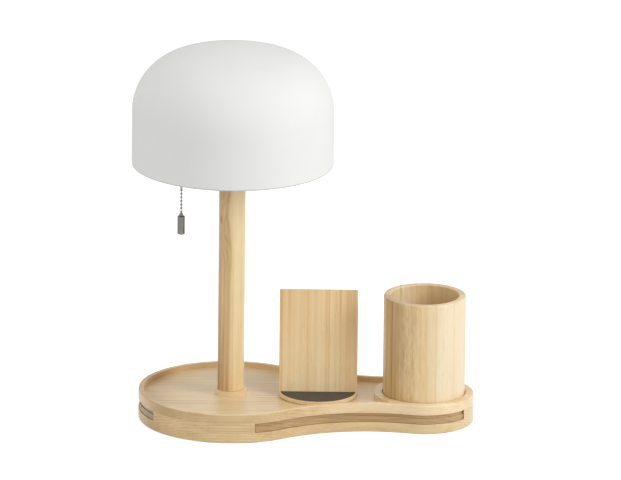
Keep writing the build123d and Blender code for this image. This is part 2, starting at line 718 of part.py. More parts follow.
def make_switch_leads():
    """Two bowed wires from inside the holder's cap to the switch."""
    x0 = SWITCH_X1 - SWITCH_LEAD_ENTRY
    x1 = -HOLDER_CAP_BORE_R + SWITCH_LEAD_ENTRY
    leads = []
    for y in switch_lead_rows():
        start = (x0, y, Z_SWITCH_LEAD)
        points = [
            start,
            (SWITCH_X1 + SWITCH_LEAD_ENTRY, y, Z_SWITCH_LEAD),
            ((x0 + x1) / 2, y, Z_SWITCH_LEAD - SWITCH_LEAD_SAG),
            (-HOLDER_R - SWITCH_LEAD_ENTRY, y, Z_SWITCH_LEAD),
            (x1, y, Z_SWITCH_LEAD),
        ]
        path = FilletPolyline(*points, radius=SWITCH_LEAD_BEND_R)
        section = Plane(origin=start, z_dir=(1, 0, 0)) * Circle(SWITCH_LEAD_R)
        leads.append(sweep(section, path=path))
    return leads


def make_plunger():
    rod_low = Z_EYE + FORK_R + FORK_BRIDGE_CLEAR
    collar_low = Z_HOLDER + PLUNGER_COLLAR_RISE
    rod = cylinder(PLUNGER_R, rod_low, collar_low, SWITCH_X)
    collar = cylinder(PLUNGER_COLLAR_R, collar_low, collar_low + PLUNGER_COLLAR_T, SWITCH_X)
    across = Pos(SWITCH_X, 0, Z_EYE) * Rot(90, 0, 0)
    tongue_x0 = SWITCH_X - PLUNGER_R
    tongue_x1 = SWITCH_X + PLUNGER_R
    eye = across * Cylinder(EYE_R, EYE_T)
    eye += block(tongue_x0, tongue_x1, -EYE_T / 2, EYE_T / 2, Z_EYE, rod_low)
    return rod + collar + eye - across * Cylinder(EYE_HOLE_R, EYE_T)


def make_switch():
    nut_low = Z_BRACKET - STEM_NUT_T
    nut = slab(Pos(SWITCH_X, 0) * RegularPolygon(STEM_NUT_R, 6), nut_low, Z_BRACKET)
    nut -= cylinder(STEM_R + FIT, nut_low, Z_BRACKET, SWITCH_X)
    stem_top = Z_HOLDER + SWITCH_FLOOR_T
    return {
        "switch_bracket": make_bracket(),
        "switch_body": make_switch_body(),
        "switch_stem": tube(STEM_R, PLUNGER_R + RUNNING_FIT, Z_STEM, stem_top, SWITCH_X),
        "switch_stem_nut": nut,
        "switch_leads": make_switch_leads(),
        "switch_plunger": make_plunger(),
    }


# ---------------------------------------------------------------- pull chain


def make_chain_fork():
    half_gap = EYE_T / 2 + HAIRLINE
    half_w = half_gap + FORK_CHEEK_T
    bridge_top = Z_FORK + FORK_BRIDGE_T
    across = Pos(SWITCH_X, 0, Z_EYE) * Rot(90, 0, 0)
    fork = across * Cylinder(FORK_R, 2 * half_w)
    x0 = SWITCH_X - FORK_W / 2
    x1 = SWITCH_X + FORK_W / 2
    fork += block(x0, x1, -half_w, half_w, Z_FORK, Z_EYE)
    fork -= block(x0 - FORK_R, x1 + FORK_R, -half_gap, half_gap, bridge_top, Z_EYE + EYE_R)
    return fork + across * Cylinder(EYE_HOLE_R - HAIRLINE, 2 * half_w)


def make_bead_chain():
    chain = cylinder(LINK_R, Z_PENDANT_NECK, Z_FORK, SWITCH_X)
    for number in range(BEAD_COUNT):
        chain += Pos(SWITCH_X, 0, Z_LAST_BEAD + number * BEAD_PITCH) * Sphere(BEAD_R)
    return chain


def make_pendant():
    top = Z_PENDANT_NECK - PENDANT_NECK_L
    weight = cylinder(PENDANT_R, top - PENDANT_L, top, SWITCH_X)
    weight = fillet(weight.edges().filter_by(GeomType.CIRCLE), PENDANT_EDGE_R)
    return weight + cylinder(PENDANT_NECK_R, top, Z_PENDANT_NECK, SWITCH_X)


# ---------------------------------------------------------------- lamp holder


def make_holder_cap():
    bore = TUBE_R + FIT
    outline = Polyline(
        (bore, Z_HOLDER),
        (HOLDER_FOOT_R, Z_HOLDER),
        (HOLDER_R, Z_TUBE_TOP),
        (HOLDER_R, Z_SHELL),
        (HOLDER_CAP_BORE_R, Z_SHELL),
        (HOLDER_CAP_BORE_R, Z_TUBE_TOP),
        (bore, Z_TUBE_TOP),
        close=True,
    )
    cap = turned(outline.edges())
    for y in switch_lead_rows():
        cap -= along_x(SWITCH_LEAD_R + FIT, -HOLDER_R, 0, y, Z_SWITCH_LEAD)
    return cap


def make_holder_shell():
    top = Z_SHELL + SHELL_H
    thread_low = Z_SHELL + SHELL_THREAD_START
    shell = cylinder(HOLDER_R, Z_SHELL, top)
    shell += cylinder(SHELL_THREAD_R, thread_low, thread_low + SHELL_THREAD_L)
    shell -= cylinder(SHELL_BORE_R, Z_SHELL, top)
    return shell - cylinder(SHELL_CAVITY_R, Z_SHELL, Z_SHELL + INSERT_H)


def make_centre_contact():
    """Strip with a raised middle that the bulb's tip presses on."""
    low = Z_SHELL + INSERT_H
    high = low + CENTRE_CONTACT_RISE
    half = CENTRE_CONTACT_L / 2
    outline = Polyline(
        (-half, low),
        (-half / 2, low),
        (-half / 4, high - CONTACT_T),
        (half / 4, high - CONTACT_T),
        (half / 2, low),
        (half, low),
        (half, low + CONTACT_T),
        (half / 2, low + CONTACT_T),
        (half / 4, high),
        (-half / 4, high),
        (-half / 2, low + CONTACT_T),
        (-half, low + CONTACT_T),
        close=True,
    )
    half_w = CENTRE_CONTACT_W / 2
    return extrude(Rot(90, 0, 0) * make_face(outline.edges()), amount=half_w, both=True)


def make_side_contact():
    low = Z_SHELL + INSERT_H
    high = low + SIDE_CONTACT_H
    outer = SHELL_BORE_R - FIT
    ring = tube(outer, outer - CONTACT_T, low, high)
    half_w = SIDE_CONTACT_W / 2
    return ring & block(0, SHELL_BORE_R, -half_w, half_w, low, high)


def make_holder():
    return {
        "holder_cap": make_holder_cap(),
        "holder_insert": cylinder(SHELL_CAVITY_R - FIT, Z_SHELL, Z_SHELL + INSERT_H),
        "holder_shell": make_holder_shell(),
        "centre_contact": make_centre_contact(),
        "side_contact": make_side_contact(),
    }


# ---------------------------------------------------------------- bulb


def make_bulb_cap():
    shell_low = Z_BULB + BULB_TIP_H + BULB_INSULATOR_H
    top = Z_BULB + BULB_CAP_H
    thread_top = shell_low + BULB_THREAD_L
    root_r = BULB_CAP_R - BULB_THREAD_DEPTH
    points = [
        (0, Z_BULB),
        (BULB_TIP_R, Z_BULB),
        (BULB_TIP_R, Z_BULB + BULB_TIP_H),
        (root_r, shell_low),
    ]
    for turn in range(BULB_THREAD_TURNS):
        crest = shell_low + (turn + 0.5) * BULB_THREAD_PITCH
        points.append((BULB_CAP_R, crest))
        points.append((root_r, crest + BULB_THREAD_PITCH / 2))
    points += [(BULB_CAP_R, thread_top + BULB_THREAD_DEPTH), (BULB_CAP_R, top), (0, top)]
    return turned(Polyline(*points, close=True).edges())


def bulb_centre():
    """Height of the globe's centre, where the neck's blend touches the globe from outside."""
    reach = BULB_NECK_BLEND_R + BULB_R
    across = BULB_CAP_R + BULB_NECK_BLEND_R
    return Z_BULB + BULB_CAP_H + BULB_NECK_L + math.sqrt(reach**2 - across**2)


def bulb_side(thickness):
    """Globe, blend and neck of the glass, drawn inwards by thickness; the globe comes first."""
    neck_low = Z_BULB + BULB_CAP_H
    neck_r = BULB_CAP_R - thickness
    blend = (BULB_CAP_R + BULB_NECK_BLEND_R, neck_low + BULB_NECK_L)
    globe = (0.0, bulb_centre())
    return [
        arc(globe, BULB_R - thickness, heading(globe, blend), 90),
        arc(blend, BULB_NECK_BLEND_R + thickness, heading(blend, globe), 180),
        Line((neck_r, blend[1]), (neck_r, neck_low)),
    ]


def make_bulb_glass():
    outer = bulb_side(0)
    inner = bulb_side(BULB_GLASS_T)
    top = bulb_centre() + BULB_R
    low = Z_BULB + BULB_CAP_H
    crown = Line((0, top), (0, top - BULB_GLASS_T))
    foot = Line((BULB_CAP_R, low), (BULB_CAP_R - BULB_GLASS_T, low))
    return turned([*outer, foot, *inner, crown])


# ---------------------------------------------------------------- shade


def shade_crown_centre():
    """Height of the crown arc's centre, where the crown runs smoothly into the shoulder."""
    reach = SHADE_CROWN_R - SHADE_SHOULDER_R
    across = SHADE_R - SHADE_SHOULDER_R
    return Z_SHADE + SHADE_WALL_H - math.sqrt(reach**2 - across**2)


def shade_side(thickness):
    """Half section of the shade from its rim to its crown, drawn inwards by thickness."""
    wall_r = SHADE_R - thickness
    wall_top = Z_SHADE + SHADE_WALL_H
    shoulder = (SHADE_R - SHADE_SHOULDER_R, wall_top)
    crown = (0.0, shade_crown_centre())
    turn = heading(crown, shoulder)
    return [
        Line((wall_r, Z_SHADE), (wall_r, wall_top)),
        arc(shoulder, SHADE_SHOULDER_R - thickness, 0, turn),
        arc(crown, SHADE_CROWN_R - thickness, turn, 90),
    ]


def shade_boss_places():
    radius = SHADE_R - SHADE_BOSS_INSET
    return [on_circle(LAMP_CENTRE, radius, degrees) for degrees in CARRIER_ANGLES]


def make_shade():
    top = shade_crown_centre() + SHADE_CROWN_R
    rim = Line((SHADE_R, Z_SHADE), (SHADE_R - SHADE_WALL, Z_SHADE))
    crown = Line((0, top), (0, top - SHADE_WALL))
    shade = turned([*shade_side(0), rim, *shade_side(SHADE_WALL), crown])
    shade = fillet(edges_at(shade, Z_SHADE), SHADE_LIP_R)
    boss_top = Z_CARRIER_TOP + SHADE_BOSS_H
    web_end = SHADE_R - SHADE_WALL / 2
    web = block(SHADE_R - SHADE_BOSS_INSET, web_end, -SHADE_WEB_T / 2, SHADE_WEB_T / 2,
                Z_CARRIER_TOP, boss_top)
    screw_top = Z_CARRIER + SHADE_SCREW_L
    for degrees, (x, y) in zip(CARRIER_ANGLES, shade_boss_places()):
        shade += cylinder(SHADE_BOSS_R, Z_CARRIER_TOP, boss_top, x, y)
        shade += Rot(0, 0, degrees) * web
        shade -= cylinder(SHADE_SCREW_R + FIT, Z_CARRIER_TOP, screw_top, x, y)
    return shade


def make_carrier():
    carrier = cylinder(CARRIER_HUB_R, Z_CARRIER, Z_CARRIER_TOP)
    arm_end = SHADE_R - SHADE_WALL - CARRIER_ARM_GAP
    half_w = CARRIER_ARM_W / 2
    arm = block(0, arm_end, -half_w, half_w, Z_CARRIER, Z_CARRIER_TOP)
    for degrees in CARRIER_ANGLES:
        carrier += Rot(0, 0, degrees) * arm
    carrier -= cylinder(SHELL_THREAD_R + FIT, Z_CARRIER, Z_CARRIER_TOP)
    for x, y in shade_boss_places():
        carrier -= cylinder(SHADE_SCREW_R + FIT, Z_CARRIER, Z_CARRIER_TOP, x, y)
    return carrier


def make_shade_group():
    bore = SHELL_THREAD_R + FIT
    lower = tube(SHADE_RING_R, bore, Z_CARRIER - SHADE_RING_T, Z_CARRIER)
    upper = tube(SHADE_RING_R, bore, Z_CARRIER_TOP, Z_CARRIER_TOP + SHADE_RING_T)
    return {
        "lower_shade_ring": lower,
        "upper_shade_ring": upper,
        "shade_carrier": make_carrier(),
        "carrier_screws": [
            screw(x, y, Z_CARRIER - SHADE_SCREW_HEAD_T, SHADE_SCREW_HEAD_R,
                  SHADE_SCREW_HEAD_T, SHADE_SCREW_R, SHADE_SCREW_L)
            for x, y in shade_boss_places()
        ],
        "lamp_shade": make_shade(),
    }


def all_nodes():
    return {
        "base_bottom_board": make_bottom_board(),
        "base_middle_frame": make_middle_frame(),
        "base_top_board": make_top_board(),
        "anti_slip_feet": make_feet(),
        "underside_cover": make_underside_cover(),
        "cover_screws": make_cover_screws(),
        "cord_gland": make_cord_gland(),
        "internal_lead": make_internal_lead(),
        **make_front_drawer(),
        **make_left_drawer(),
        **make_pen_cup(),
        **make_stand(),
        **make_post(),
        **make_switch(),
        "chain_fork": make_chain_fork(),
        "bead_chain": make_bead_chain(),
        "chain_pendant": make_pendant(),
        **make_holder(),
        "bulb_cap": make_bulb_cap(),
        "bulb_glass": make_bulb_glass(),
        **make_shade_group(),
    }


def main():
    os.makedirs("parts", exist_ok=True)
    for name, shape in all_nodes().items():
        pieces = shape if isinstance(shape, list) else [shape]
        solids = [solid for piece in pieces for solid in piece.solids()]
        whole = solids[0] if len(solids) == 1 else Compound(children=solids)
        export_step(whole, f"parts/{name}.step")


main()
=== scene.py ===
import math

import bpy
from mathutils import Matrix, Vector


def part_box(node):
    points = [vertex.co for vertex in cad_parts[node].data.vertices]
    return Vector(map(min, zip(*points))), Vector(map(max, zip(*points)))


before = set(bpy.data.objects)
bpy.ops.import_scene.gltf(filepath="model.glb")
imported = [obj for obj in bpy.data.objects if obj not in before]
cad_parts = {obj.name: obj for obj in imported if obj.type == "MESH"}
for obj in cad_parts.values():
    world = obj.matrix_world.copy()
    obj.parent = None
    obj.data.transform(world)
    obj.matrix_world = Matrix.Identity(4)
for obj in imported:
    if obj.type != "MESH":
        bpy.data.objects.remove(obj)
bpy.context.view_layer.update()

# Looks of the desk lamp with drawer base. Metres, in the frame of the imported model.

MM = 0.001


def srgb(red, green, blue):
    """Linear colour from the usual 0 to 255 values."""
    linear = []
    for value in (red, green, blue):
        share = value / 255
        linear.append(share / 12.92 if share <= 0.04045 else ((share + 0.055) / 1.055) ** 2.4)
    return (*linear, 1.0)


# ---------------------------------------------------------------- node trees

SOCKETS = {
    "color": "Base Color",
    "metallic": "Metallic",
    "roughness": "Roughness",
    "normal": "Normal",
    "coat": "Coat Weight",
    "coat_roughness": "Coat Roughness",
    "specular": "Specular IOR Level",
    "subsurface": "Subsurface Weight",
    "subsurface_scale": "Subsurface Scale",
}
MIX_INPUTS = (0, 6, 7)  # factor and both colours of a Mix node for colours
MIX_OUTPUT = 2
EDGE_SAMPLES = 4
EDGE_TURNS = (0.995, 0.8)  # cosines of the turn where wear starts and where it is full


class Shader:
    """One material's node tree, with a short call for each kind of node that the finishes use."""

    def __init__(self, name):
        self.material = bpy.data.materials.new(name)
        self.material.use_nodes = True
        self.tree = self.material.node_tree
        self.surface = self.tree.nodes["Principled BSDF"]
        coordinates = self.node("TexCoord")
        self.point = coordinates.outputs["Object"]
        self.facing = coordinates.outputs["Normal"]

    def node(self, kind, **settings):
        made = self.tree.nodes.new("ShaderNode" + kind)
        for key, value in settings.items():
            setattr(made, key, value)
        return made

    def feed(self, socket, value):
        if isinstance(value, bpy.types.NodeSocket):
            self.tree.links.new(value, socket)
        else:
            socket.default_value = value

    def math(self, operation, *values):
        made = self.node("Math", operation=operation)
        for socket, value in zip(made.inputs, values):
            self.feed(socket, value)
        return made.outputs[0]

    def add(self, first, *rest):
        total = first
        for value in rest:
            total = self.math("ADD", total, value)
        return total

    def times(self, value, factor):
        return self.math("MULTIPLY", value, factor)

    def swing(self, value, amount):
        """Zero-centred variation of the given strength from a value around one half."""
        return self.times(self.math("SUBTRACT", value, 0.5), amount)

    def step(self, value, low, high):
        """Smooth step from 0 at low to 1 at high; low may be the larger of the two."""
        made = self.node("MapRange", interpolation_type="SMOOTHSTEP")
        self.feed(made.inputs["Value"], value)
        made.inputs["From Min"].default_value = low
        made.inputs["From Max"].default_value = high
        return made.outputs["Result"]

    def mix(self, factor, first, second):
        """First colour at factor 0, second at 1."""
        made = self.node("Mix", data_type="RGBA")
        for number, value in zip(MIX_INPUTS, (factor, first, second)):
            self.feed(made.inputs[number], value)
        return made.outputs[MIX_OUTPUT]

    def ramp(self, factor, stops, interpolation="LINEAR"):
        """Colour ramp through (place, value) stops; a plain number stands for a grey."""
        made = self.node("ValToRGB")
        band = made.color_ramp
        band.interpolation = interpolation
        while len(band.elements) < len(stops):
            band.elements.new(0.5)
        for element, (place, value) in zip(band.elements, stops):
            element.position = place
            element.color = value if isinstance(value, tuple) else (value, value, value, 1.0)
        self.feed(made.inputs[0], factor)
        return made.outputs[0]

    def split(self, vector):
        made = self.node("SeparateXYZ")
        self.feed(made.inputs[0], vector)
        return made.outputs

    def join(self, x, y, z):
        made = self.node("CombineXYZ")
        for socket, value in zip(made.inputs, (x, y, z)):
            self.feed(socket, value)
        return made.outputs[0]

    def placed(self, vector, scale=(1, 1, 1), turn=(0, 0, 0)):
        """The vector scaled and then turned about the axes."""
        made = self.node("Mapping")
        self.feed(made.inputs["Vector"], vector)
        made.inputs["Rotation"].default_value = turn
        made.inputs["Scale"].default_value = scale
        return made.outputs[0]

    def noise(self, vector, scale=1.0, detail=2.0, bend=0.0):
        made = self.node("TexNoise")
        self.feed(made.inputs["Vector"], vector)
        made.inputs["Scale"].default_value = scale
        made.inputs["Detail"].default_value = detail
        made.inputs["Distortion"].default_value = bend
        return made.outputs[0]

    def distance(self, vector, place, squeeze):
        """Distance from a place, with each axis scaled by squeeze first."""
        apart = self.node("VectorMath", operation="SUBTRACT")
        self.feed(apart.inputs[0], vector)
        apart.inputs[1].default_value = place
        scaled = self.node("VectorMath", operation="MULTIPLY")
        self.feed(scaled.inputs[0], apart.outputs[0])
        scaled.inputs[1].default_value = squeeze
        length = self.node("VectorMath", operation="LENGTH")
        self.feed(length.inputs[0], scaled.outputs[0])
        return length.outputs["Value"]

    def edges(self, radius):
        """About 1 along sharp edges and 0 on plain surfaces."""
        rounded = self.node("Bevel", samples=EDGE_SAMPLES)
        rounded.inputs["Radius"].default_value = radius
        plain = self.node("NewGeometry")
        dot = self.node("VectorMath", operation="DOT_PRODUCT")
        self.feed(dot.inputs[0], rounded.outputs[0])
        self.feed(dot.inputs[1], plain.outputs["Normal"])
        return self.step(dot.outputs["Value"], *EDGE_TURNS)

    def bump(self, height, depth):
        made = self.node("Bump")
        made.inputs["Strength"].default_value = 1.0
        made.inputs["Distance"].default_value = depth
        self.feed(made.inputs["Height"], height)
        return made.outputs[0]

    def set(self, **values):
        """Sets or feeds sockets of the surface shader, by their short names in SOCKETS."""
        for key, value in values.items():
            self.feed(self.surface.inputs[SOCKETS[key]], value)
        return self


# ---------------------------------------------------------------- wood

# Dark, middle and light colour of each wood, for the tones 0, 0.5 and 1.
BASE_TONES = (srgb(180, 144, 94), srgb(221, 192, 142), srgb(240, 221, 184))
TRAY_TONES = (srgb(192, 157, 106), srgb(232, 203, 155), srgb(249, 229, 190))
DRAWER_TONES = (srgb(134, 104, 66), srgb(183, 150, 103), srgb(210, 179, 131))
# Painted shade: the left drawer's face is a darker, greyer copy of the front drawer's wood, for its
# side away from the light.
SHADED_DRAWER_TONES = (srgb(100, 84, 62), srgb(143, 124, 98), srgb(168, 148, 120))
BOX_TONES = (srgb(190, 155, 110), srgb(222, 194, 150), srgb(240, 220, 184))
POST_TONES = (srgb(146, 103, 54), srgb(229, 196, 138), srgb(247, 225, 178))
REST_TONES = (srgb(184, 142, 90), srgb(230, 196, 143), srgb(243, 219, 172))
CUP_TONES = (srgb(164, 122, 70), srgb(228, 199, 147), srgb(245, 233, 207))
# Pale speckled end grain; on the tops of the upright woods its paleness is partly painted light
# from above.
END_GRAIN_AND_TOP_LIGHT = srgb(234, 216, 186)
PORE = srgb(150, 112, 70)
BLUSH = srgb(226, 190, 150)

# Size of each pattern, as noise waves a metre along the grain and in both directions across it.
FIBRES = (18, 700, 700)
STREAKS = (5, 150, 150)
CLOUDS = (5, 26, 26)
PORES = (70, 1500, 1500)
BLUSHES = (3, 40, 40)
SPECKLES = (900, 900, 900)
LINE_DRIFT = (0.8, 55, 55)
LINE_PATCHES = (1.6, 28, 28)
STAVE_WAVER = (4, 30, 30)
POST_WAVER = (6, 60, 60)
CUP_FLECKS = (90, 420, 420)
LINE_WAVES_ACROSS = 17

# How far each pattern moves the tone, the relief and the roughness, and the share of each tint.
FIBRE_TONE = 0.30
STREAK_TONE = 0.55
CLOUD_TONE = 0.35
JOINT_DARK = 0.06
PORE_TINT = 0.16
BLUSH_TINT = 0.25
END_TINT = 0.38
WORN_TINT = 0.28
FIBRE_RELIEF = 0.6
PORE_RELIEF = -0.8
STREAK_RELIEF = 0.4
FIBRE_ROUGHNESS = 0.14
PORE_ROUGHNESS = 0.12
WORN_ROUGHNESS = -0.06

# Where a pattern's step starts and where it is full.
PORE_STEP = (0.62, 0.74)
BLUSH_STEP = (0.45, 0.75)
SPECKLE_STEP = (0.3, 0.65)
PATCH_STEP = (0.35, 0.65)
JOINT_STEP = (0.488, 0.5)  # shares of a stave's width, from its middle
END_FACING = (0.75, 0.97)  # part of the normal along the grain
SIDE_FACING = (0.6, 0.2)  # upright part of the normal

SEED_SHIFT = 0.37  # metres along the grain from one seed's wood to the next
LINE_PROFILE = [(0.0, 0.5), (0.2, 0.9), (0.55, 0.8), (0.85, 0.0), (1.0, 0.5)]
LINE_DRIFT_GAPS = 2.5
FAINTEST_LINE = 0.25
WORN_EDGE = 0.7 * MM
WOOD_RELIEF = 0.12 * MM
COAT_ROUGHNESS = 0.28

# The base's boards. A pair is the place where a change of tone starts and where it is full.
STAVE_W = 38 * MM
STAVE_SHIFT = 7 * MM
STAVE_TONE = 0.14
# Painted shade darkens the boards towards the left end, and painted light brightens them towards
# the right end.
LEFT_END = (-50 * MM, -90 * MM)
LEFT_END_SHADE = -0.28
BOTTOM_LEFT_END_SHADE = -0.55
RIGHT_END = (140 * MM, 215 * MM)
RIGHT_END_LIGHT = 0.16
TRAY_TONE = -0.05
# Painted shade darkens the tray towards the lamp end, and painted light lightens it from near the
# post onwards.
TRAY_LEFT_SHADE = (-90 * MM, -10 * MM)
TRAY_LEFT_SHADE_TONE = 0.40
# Painted shadow of the phone rest and the pen cup on the tray's back right part.
TRAY_SHADOW_X = (12 * MM, 45 * MM)
TRAY_SHADOW_Y = (-50 * MM, -15 * MM)
TRAY_SHADOW_TONE = -0.30
# Painted shade on the top board's sides, deepest on the outer side of the lamp end.
SIDE_SHADE = -0.02
LAMP_END_SIDE = (88 * MM, 90.5 * MM)  # away from the post's axis
LAMP_END_REACH = (110 * MM, 60 * MM)
LAMP_END_SIDE_SHADE = -0.32
DISC_TONE = 0.12

# The post: its bands from left to right, how they sway with the height, its knots and joint.
POST_R = (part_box("post")[1][0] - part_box("post")[0][0]) / 2
# Painted shade in the joint round the post's foot, on the top board just beyond the post's radius.
POST_FOOT_SHADE = (POST_R + 0.9 * MM, POST_R + 0.2 * MM)
POST_FOOT_DARK = 0.55
POST_BANDS = [
    (0.0, 0.08), (0.07, 0.08), (0.12, 0.17), (0.3, 0.23), (0.46, 0.38), (0.52, 0.32),
    (0.56, 0.44), (0.60, 0.72), (0.78, 0.92), (0.88, 0.84), (0.93, 0.96), (1.0, 0.85),
]
POST_BAND_TONE = 0.9
POST_LINE_GAP = 4.2 * MM
POST_LINE_TONE = 0.15
POST_SWAY = [
    (0.0, 0.5), (0.5, 0.5), (0.66, 0.35), (0.76, 0.6), (0.83, 1.0), (0.93, 0.4), (1.0, 0.55),
]
POST_SWAY_TOP = 260 * MM
POST_SWAY_W = 6 * MM
POST_WAVER_W = 3 * MM
POST_JOINT_X = 1.6 * MM
POST_JOINT_HALF_W = (0.45 * MM, 0.1 * MM)
POST_JOINT_TOP = (175 * MM, 120 * MM)
POST_JOINT_DARK = 0.32
KNOTS = [  # place, reach and darkness
    (Vector((-10.7, -7.9, 208)) * MM, 14 * MM, 0.35),
    (Vector((-6.5, -11.6, 190)) * MM, 12 * MM, 0.10),
    (Vector((11.0, 6.9, 96)) * MM, 13 * MM, 0.35),
]
KNOT_SQUEEZE = (1, 1, 0.42)
KNOT_HEART = (0.20, 0.02)  # shares of the knot's reach
KNOT_LINES = 1.3

# Bands of the phone rest and the pen cup, from the left to the right.
REST_LEAN = 12.0
REST_BANDS = [
    (0.0, 0.48), (0.035, 0.36), (0.05, 0.60), (0.19, 0.64), (0.205, 0.74), (0.3, 0.72),
    (0.32, 0.56), (0.40, 0.50), (0.42, 0.68), (0.54, 0.66), (0.62, 0.52), (0.635, 0.22),
    (0.65, 0.64), (0.75, 0.58), (0.775, 0.36), (0.80, 0.52), (0.88, 0.28), (0.97, 0.34),
    (1.0, 0.5),
]
REST_BAND_TONE = 0.9
REST_WAVER_W = 2.4 * MM
# Painted light: the phone rest is lighter over this height above its foot.
REST_FOOT_LIGHT_H = 90 * MM
REST_FOOT_LIGHT = 0.22
CUP_BANDS = [
    (0.0, 0.26), (0.09, 0.20), (0.1, 0.08), (0.115, 0.26), (0.3, 0.36), (0.45, 0.54),
    (0.6, 0.64), (0.635, 0.52), (0.65, 0.76), (0.85, 0.78), (1.0, 0.80),
]
CUP_BACK_BANDS = [
    (0.0, 0.60), (0.2, 0.70), (0.215, 0.44), (0.23, 0.70), (0.45, 0.64), (0.52, 0.60),
    (0.54, 0.50), (1.0, 0.46),
]
CUP_BAND_TONE = 1.0
CUP_WAVER_W = 3 * MM
CUP_CALM = [(0.0, 1.0), (0.4, 1.0), (0.56, 0.5), (1.0, 0.4)]
CUP_MOTTLED = [(0.12, 0.0), (0.25, 1.0), (0.42, 0.7), (0.56, 0.1)]
CUP_FLECK_TONE = 0.55
CUP_RIM_DARK = 0.22


class Wood(Shader):
    """Wood whose grain runs along X, Y or Z, with fibres, pores, growth lines and end grain.

    Its tone, around 0.5, picks the colour: each call makes it darker or lighter in places.
    """

    ORDERS = {"X": (0, 1, 2), "Y": (1, 0, 2), "Z": (2, 0, 1)}

    def __init__(self, name, grain, seed, lean=0.0):
        super().__init__(name)
        self.axis = "XYZ".index(grain)
        parts = self.split(self.placed(self.point, turn=(math.radians(lean), 0, 0)))
        along, self.across, self.through = (parts[index] for index in self.ORDERS[grain])
        self.grain = self.join(self.add(along, SEED_SHIFT * seed), self.across, self.through)
        self.fibre = self.pattern(FIBRES, detail=3)
        self.streak = self.pattern(STREAKS, detail=3)
        self.pores = self.step(self.pattern(PORES), *PORE_STEP)
        self.tone = self.add(
            0.5,
            self.swing(self.fibre, FIBRE_TONE),
            self.swing(self.streak, STREAK_TONE),
            self.swing(self.pattern(CLOUDS, detail=2), CLOUD_TONE),
        )

    def pattern(self, waves, detail=1, bend=0.0):
        """Noise that follows the grain."""
        return self.noise(self.placed(self.grain, waves), detail=detail, bend=bend)

    def lighten(self, *amounts):
        self.tone = self.add(self.tone, *amounts)

    def darken(self, amount):
        self.tone = self.math("SUBTRACT", self.tone, amount)

    def growth_lines(self, gap, wobble, strength, slant=0.5, stretch=2.5):
        """Growth lines cut by the surface: wavy by wobble line gaps, and unevenly spaced."""
        waves = self.pattern((stretch, LINE_WAVES_ACROSS, LINE_WAVES_ACROSS))
        count = self.add(
            self.times(self.across, slant / gap),
            self.times(self.through, math.sqrt(1 - slant**2) / gap),
            self.times(waves, wobble),
            self.times(self.pattern(LINE_DRIFT), LINE_DRIFT_GAPS),
        )
        self.lines(count, strength)

    def lines(self, count, strength):
        """A darker late line each time that count passes a whole number, some of them faint."""
        profile = self.ramp(self.math("FRACT", count), LINE_PROFILE)
        patches = self.step(self.pattern(LINE_PATCHES), *PATCH_STEP)
        weight = self.add(FAINTEST_LINE, self.times(patches, 1 - FAINTEST_LINE))
        self.lighten(self.times(self.swing(profile, strength), weight))

    def staves(self, width, strength, shift):
        """Glued staves side by side, each with its own tone and a hairline joint."""
        place = self.times(self.add(self.across, shift), 1 / width)
        random = self.node("TexWhiteNoise", noise_dimensions="1D")
        self.feed(random.inputs["W"], self.math("FLOOR", place))
        self.lighten(self.swing(random.outputs["Value"], strength))
        off_middle = self.math("ABSOLUTE", self.math("SUBTRACT", self.math("FRACT", place), 0.5))
        self.darken(self.times(self.step(off_middle, *JOINT_STEP), JOINT_DARK))

    def share_of(self, node, waver):
        """0 to 1 from a node's left edge to its right one, with a waver along the grain."""
        low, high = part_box(node)
        wavering = self.swing(self.pattern(STAVE_WAVER), waver)
        return self.times(self.add(self.across, wavering, -low[0]), 1 / (high[0] - low[0]))

    def finish(self, tones, roughness=0.42, coat=0.12):
        """Colour, gloss and relief from the tone, the pores, the end grain and the wear; the end
        grain's pale tint is partly painted light where it lies on top.
        """
        dark, middle, light = tones
        color = self.ramp(self.tone, [(0.0, dark), (0.5, middle), (1.0, light)])
        color = self.mix(self.times(self.pores, PORE_TINT), color, PORE)
        blush = self.step(self.pattern(BLUSHES), *BLUSH_STEP)
        color = self.mix(self.times(blush, BLUSH_TINT), color, BLUSH)
        cut = self.math("ABSOLUTE", self.split(self.facing)[self.axis])
        speckle = self.step(self.pattern(SPECKLES, detail=2), *SPECKLE_STEP)
        # End grain tint, partly painted light on the upright woods' tops.
        end = self.times(self.step(cut, *END_FACING), END_TINT)
        color = self.mix(end, color, self.mix(speckle, middle, END_GRAIN_AND_TOP_LIGHT))
        worn = self.edges(WORN_EDGE)
        color = self.mix(self.times(worn, WORN_TINT), color, light)
        relief = self.add(
            self.times(self.fibre, FIBRE_RELIEF),
            self.times(self.pores, PORE_RELIEF),
            self.times(self.streak, STREAK_RELIEF),
        )
        gloss = self.add(
            roughness,
            self.swing(self.fibre, FIBRE_ROUGHNESS),
            self.times(self.pores, PORE_ROUGHNESS),
            self.times(worn, WORN_ROUGHNESS),
        )
        self.set(color=color, roughness=gloss, normal=self.bump(relief, WOOD_RELIEF),
                 coat=coat, coat_roughness=COAT_ROUGHNESS)
        return self.material


def board_wood(name, seed, left_end_shade=LEFT_END_SHADE):
    """Board of the base: grain along X, lines on its side, painted shade at the left end and
    painted light at the right end.
    """
    wood = Wood(name, "X", seed)
    wood.growth_lines(gap=3.0 * MM, wobble=1.0, strength=0.26, slant=0.30, stretch=1.4)
    wood.staves(STAVE_W, STAVE_TONE, shift=seed * STAVE_SHIFT)
    # Painted shade at the left end, painted light at the right end.
    x = wood.split(wood.point)[0]
    wood.lighten(
        wood.times(wood.step(x, *LEFT_END), left_end_shade),
        wood.times(wood.step(x, *RIGHT_END), RIGHT_END_LIGHT),
    )
    return wood


